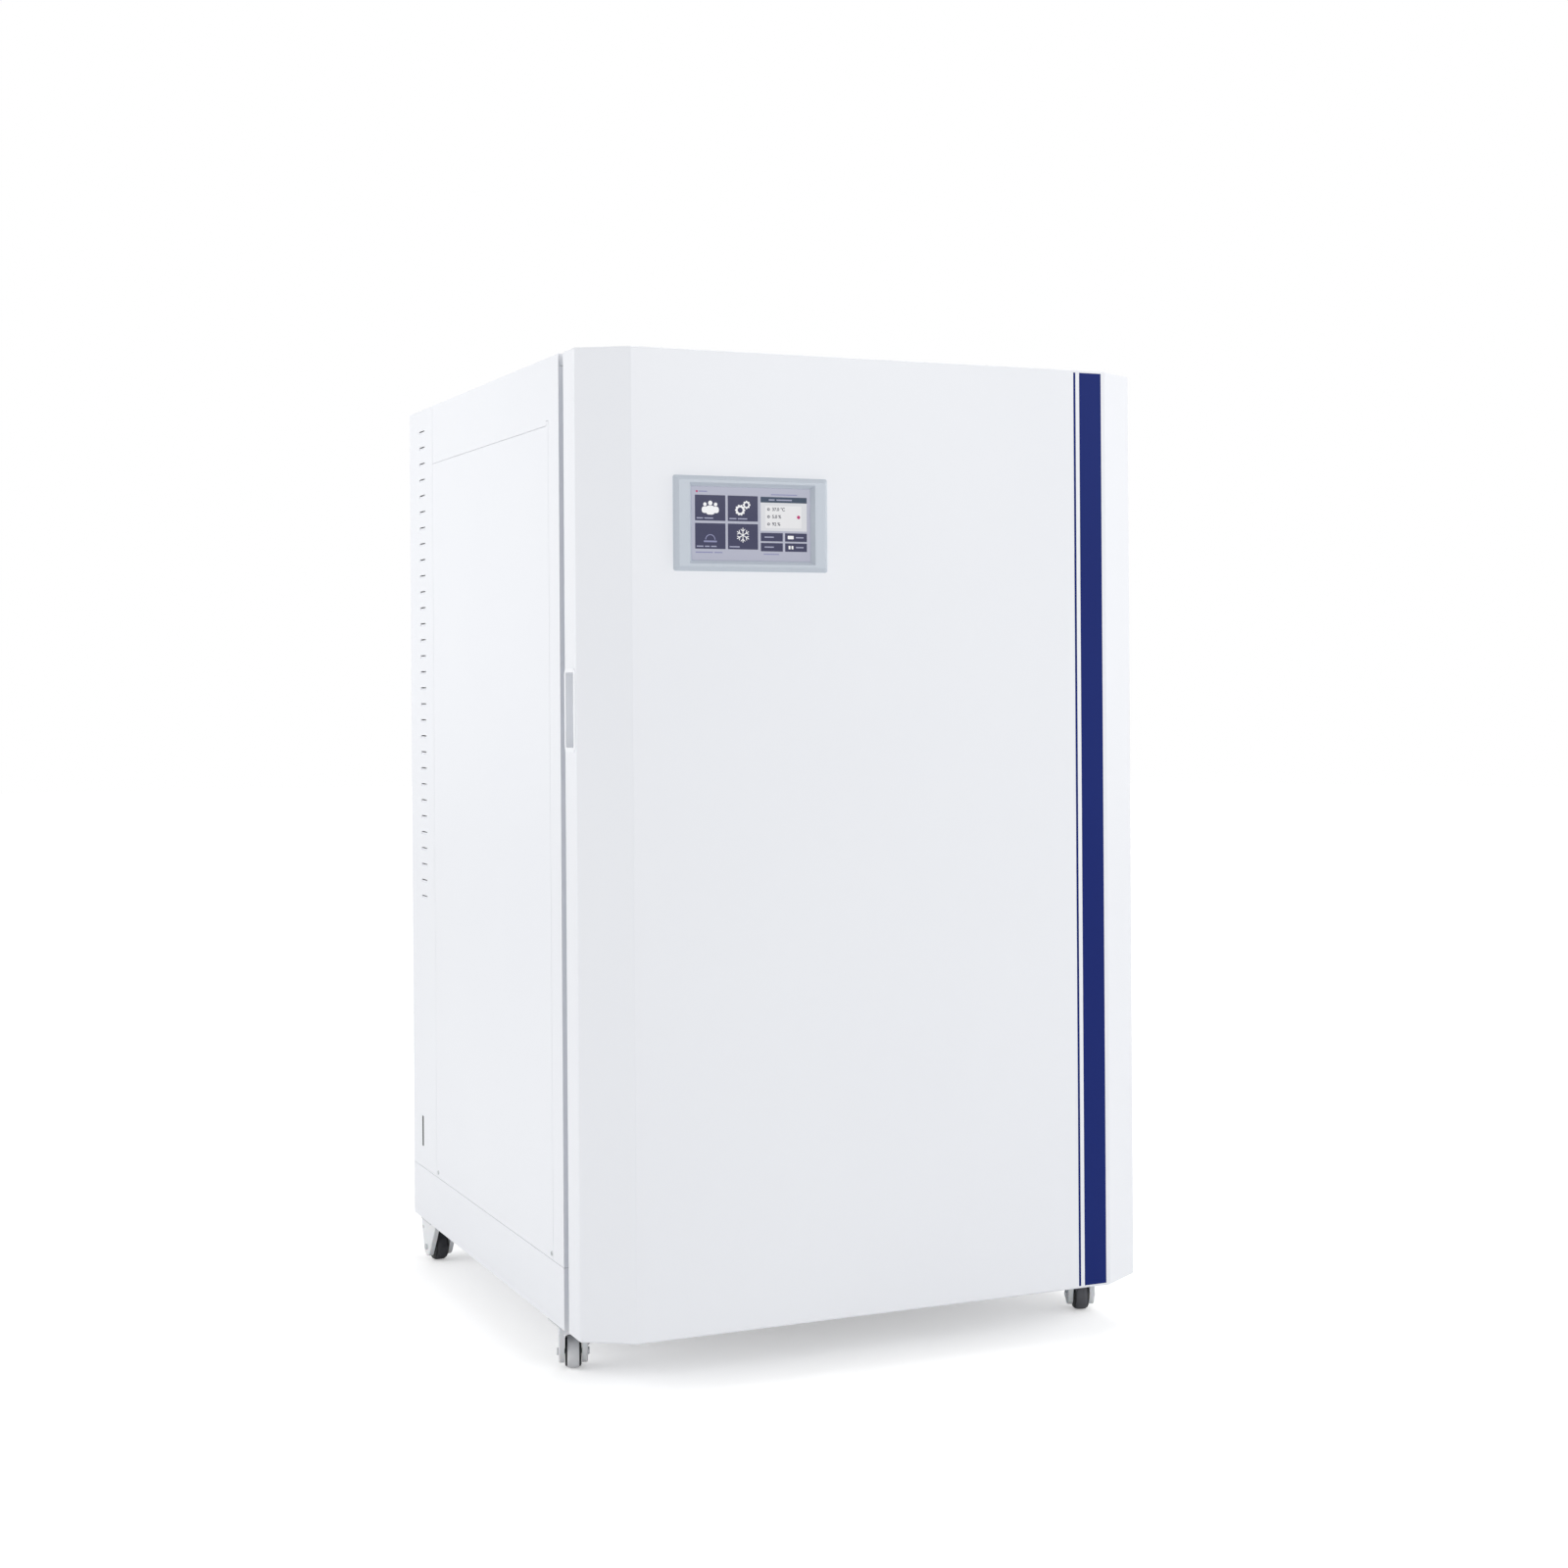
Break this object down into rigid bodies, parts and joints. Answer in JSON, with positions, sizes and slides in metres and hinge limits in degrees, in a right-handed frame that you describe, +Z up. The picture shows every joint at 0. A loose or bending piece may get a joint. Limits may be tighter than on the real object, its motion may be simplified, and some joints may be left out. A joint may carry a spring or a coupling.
{
  "type": "carbon dioxide incubator",
  "caption": "Floor-standing carbon dioxide incubator with a touch panel in its full-height door, a glass inner door, sliding shelves and braked swivel casters.",
  "frame": {"origin": "on the floor under the middle of the cabinet with its door closed", "axes": "+X to the right seen from the front, +Y to the back, +Z up"},
  "size_m": [0.76, 0.7998, 1.222],
  "materials": {
    "white_powder_coat": "fine satin powder coat",
    "galvanised_steel": "galvanised sheet",
    "stainless": "brushed stainless",
    "foam": "closed-cell foam",
    "grey_plastic": "fine-textured moulding",
    "display_glass": "lit touch panel",
    "black_plastic": "moulded",
    "gasket_rubber": "soft extrusion",
    "silicone": "translucent silicone",
    "clear_glass": "polished",
    "zinc_plate": "zinc plated",
    "motor_paint": "paint",
    "filter_white": "moulded caps",
    "brass": "nickel-free brass",
    "caster_nylon": "white nylon",
    "pedal_nylon": "grey nylon",
    "wheel_rubber": "thermoplastic rubber"
  },
  "bodies": {
    "cabinet": {"base_pan": "white_powder_coat", "left_side_frame": "white_powder_coat", "right_side_frame": "white_powder_coat", "left_service_cover": "white_powder_coat", "right_service_cover": "white_powder_coat", "left_corner_panel": "white_powder_coat", "right_corner_panel": "white_powder_coat", "top_cover": "white_powder_coat", "rear_panel": "white_powder_coat", "front_frame": "white_powder_coat", "chamber_liner": "stainless", "insulation": "foam", "left_shelf_rack": "stainless", "right_shelf_rack": "stainless", "fan_duct": "stainless", "fan_motor": "motor_paint", "air_filter": "filter_white", "sensor_probe": "filter_white", "control_tray": "galvanised_steel", "cabinet_hinges": "zinc_plate", "glass_brackets": "stainless", "latch_strike": "stainless", "connection_recess": "galvanised_steel", "mains_inlet": "black_plastic", "switch_frame": "black_plastic", "gas_inlet": "brass", "port_sleeve": "stainless", "caster_plates": "zinc_plate"},
    "outer_door": {"door_skin": "white_powder_coat", "door_grip": "grey_plastic", "door_pan": "white_powder_coat", "door_core": "foam", "display_bezel": "grey_plastic", "display_screen": "display_glass", "display_module": "black_plastic", "door_gasket": "gasket_rubber", "door_hinges": "zinc_plate"},
    "glass_door": {"glass_pane": "clear_glass", "glass_gasket": "silicone", "glass_clamps": "stainless"},
    "latch": {"latch_knob": "black_plastic"},
    "shelf_1_body": {"shelf_1": "stainless"},
    "shelf_2_body": {"shelf_2": "stainless"},
    "shelf_3_body": {"shelf_3": "stainless"},
    "pan_body": {"humidity_pan": "stainless"},
    "fan": {"fan_impeller": "filter_white"},
    "rocker": {"power_rocker": "black_plastic"},
    "plug": {"port_plug": "silicone"},
    "fork_front_left": {"caster_fork_front_left": "caster_nylon"},
    "wheel_front_left": {"caster_wheel_front_left": "wheel_rubber"},
    "brake_front_left": {"caster_brake_front_left": "pedal_nylon"},
    "fork_front_right": {"caster_fork_front_right": "caster_nylon"},
    "wheel_front_right": {"caster_wheel_front_right": "wheel_rubber"},
    "brake_front_right": {"caster_brake_front_right": "pedal_nylon"},
    "fork_rear_left": {"caster_fork_rear_left": "caster_nylon"},
    "wheel_rear_left": {"caster_wheel_rear_left": "wheel_rubber"},
    "brake_rear_left": {"caster_brake_rear_left": "pedal_nylon"},
    "fork_rear_right": {"caster_fork_rear_right": "caster_nylon"},
    "wheel_rear_right": {"caster_wheel_rear_right": "wheel_rubber"},
    "brake_rear_right": {"caster_brake_rear_right": "pedal_nylon"}
  },
  "joints": [
    {"name": "outer_door_swing", "type": "hinge", "parent": "cabinet", "child": "outer_door", "pos_m": [0.376, -0.308, 0.642], "axis": [0, 0, 1], "range_deg": [0, 130]},
    {"name": "glass_door_swing", "type": "hinge", "parent": "cabinet", "child": "glass_door", "pos_m": [0.312, -0.2913, 0.575], "axis": [0, 0, 1], "range_deg": [0, 111]},
    {"name": "latch_turn", "type": "hinge", "parent": "glass_door", "child": "latch", "pos_m": [-0.296, -0.2853, 0.562], "axis": [0, -1, 0], "range_deg": [0, 90]},
    {"name": "shelf_1_slide", "type": "slide", "parent": "cabinet", "child": "shelf_1_body", "axis": [0, -1, 0], "range_m": [0, 0.02]},
    {"name": "shelf_2_slide", "type": "slide", "parent": "cabinet", "child": "shelf_2_body", "axis": [0, -1, 0], "range_m": [0, 0.02]},
    {"name": "shelf_3_slide", "type": "slide", "parent": "cabinet", "child": "shelf_3_body", "axis": [0, -1, 0], "range_m": [0, 0.02]},
    {"name": "pan_slide", "type": "slide", "parent": "cabinet", "child": "pan_body", "axis": [0, -1, 0], "range_m": [0, 0.02]},
    {"name": "fan_spin", "type": "hinge", "parent": "cabinet", "child": "fan", "pos_m": [0, 0.099, 0.93], "axis": [0, 0, 1], "continuous": true},
    {"name": "rocker_tilt", "type": "hinge", "parent": "cabinet", "child": "rocker", "pos_m": [-0.18, 0.357, 0.212], "axis": [1, 0, 0], "range_deg": [-20, 0]},
    {"name": "plug_pull", "type": "slide", "parent": "cabinet", "child": "plug", "axis": [0, 1, 0], "range_m": [0, 0.1]},
    {"name": "swivel_front_left", "type": "hinge", "parent": "cabinet", "child": "fork_front_left", "pos_m": [-0.352, -0.257, 0.055], "axis": [0, 0, 1], "continuous": true},
    {"name": "roll_front_left", "type": "hinge", "parent": "fork_front_left", "child": "wheel_front_left", "pos_m": [-0.34706, -0.24178, 0.02], "axis": [0.9511, -0.309, 0], "continuous": true},
    {"name": "brake_press_front_left", "type": "hinge", "parent": "fork_front_left", "child": "brake_front_left", "pos_m": [-0.34242, -0.22752, 0.0452], "axis": [0.9511, -0.309, 0], "range_deg": [0, 8]},
    {"name": "swivel_front_right", "type": "hinge", "parent": "cabinet", "child": "fork_front_right", "pos_m": [0.352, -0.257, 0.055], "axis": [0, 0, 1], "continuous": true},
    {"name": "roll_front_right", "type": "hinge", "parent": "fork_front_right", "child": "wheel_front_right", "pos_m": [0.34601, -0.27183, 0.02], "axis": [-0.9272, 0.3746, 0], "continuous": true},
    {"name": "brake_press_front_right", "type": "hinge", "parent": "fork_front_right", "child": "brake_front_right", "pos_m": [0.34039, -0.28574, 0.0452], "axis": [-0.9272, 0.3746, 0], "range_deg": [0, 8]},
    {"name": "swivel_rear_left", "type": "hinge", "parent": "cabinet", "child": "fork_rear_left", "pos_m": [-0.352, 0.334, 0.055], "axis": [0, 0, 1], "continuous": true},
    {"name": "roll_rear_left", "type": "hinge", "parent": "fork_rear_left", "child": "wheel_rear_left", "pos_m": [-0.35312, 0.34996, 0.02], "axis": [0.9976, 0.0698, 0], "continuous": true},
    {"name": "brake_press_rear_left", "type": "hinge", "parent": "fork_rear_left", "child": "brake_rear_left", "pos_m": [-0.35416, 0.36492, 0.0452], "axis": [0.9976, 0.0698, 0], "range_deg": [0, 8]},
    {"name": "swivel_rear_right", "type": "hinge", "parent": "cabinet", "child": "fork_rear_right", "pos_m": [0.352, 0.334, 0.055], "axis": [0, 0, 1], "continuous": true},
    {"name": "roll_rear_right", "type": "hinge", "parent": "fork_rear_right", "child": "wheel_rear_right", "pos_m": [0.34895, 0.31829, 0.02], "axis": [-0.9816, 0.1908, 0], "continuous": true},
    {"name": "brake_press_rear_right", "type": "hinge", "parent": "fork_rear_right", "child": "brake_rear_right", "pos_m": [0.34608, 0.30357, 0.0452], "axis": [-0.9816, 0.1908, 0], "range_deg": [0, 8]}
  ],
  "couplings": [
    {"joint": "glass_door_swing", "follows": "outer_door_swing", "ratio": 0.85}
  ]
}
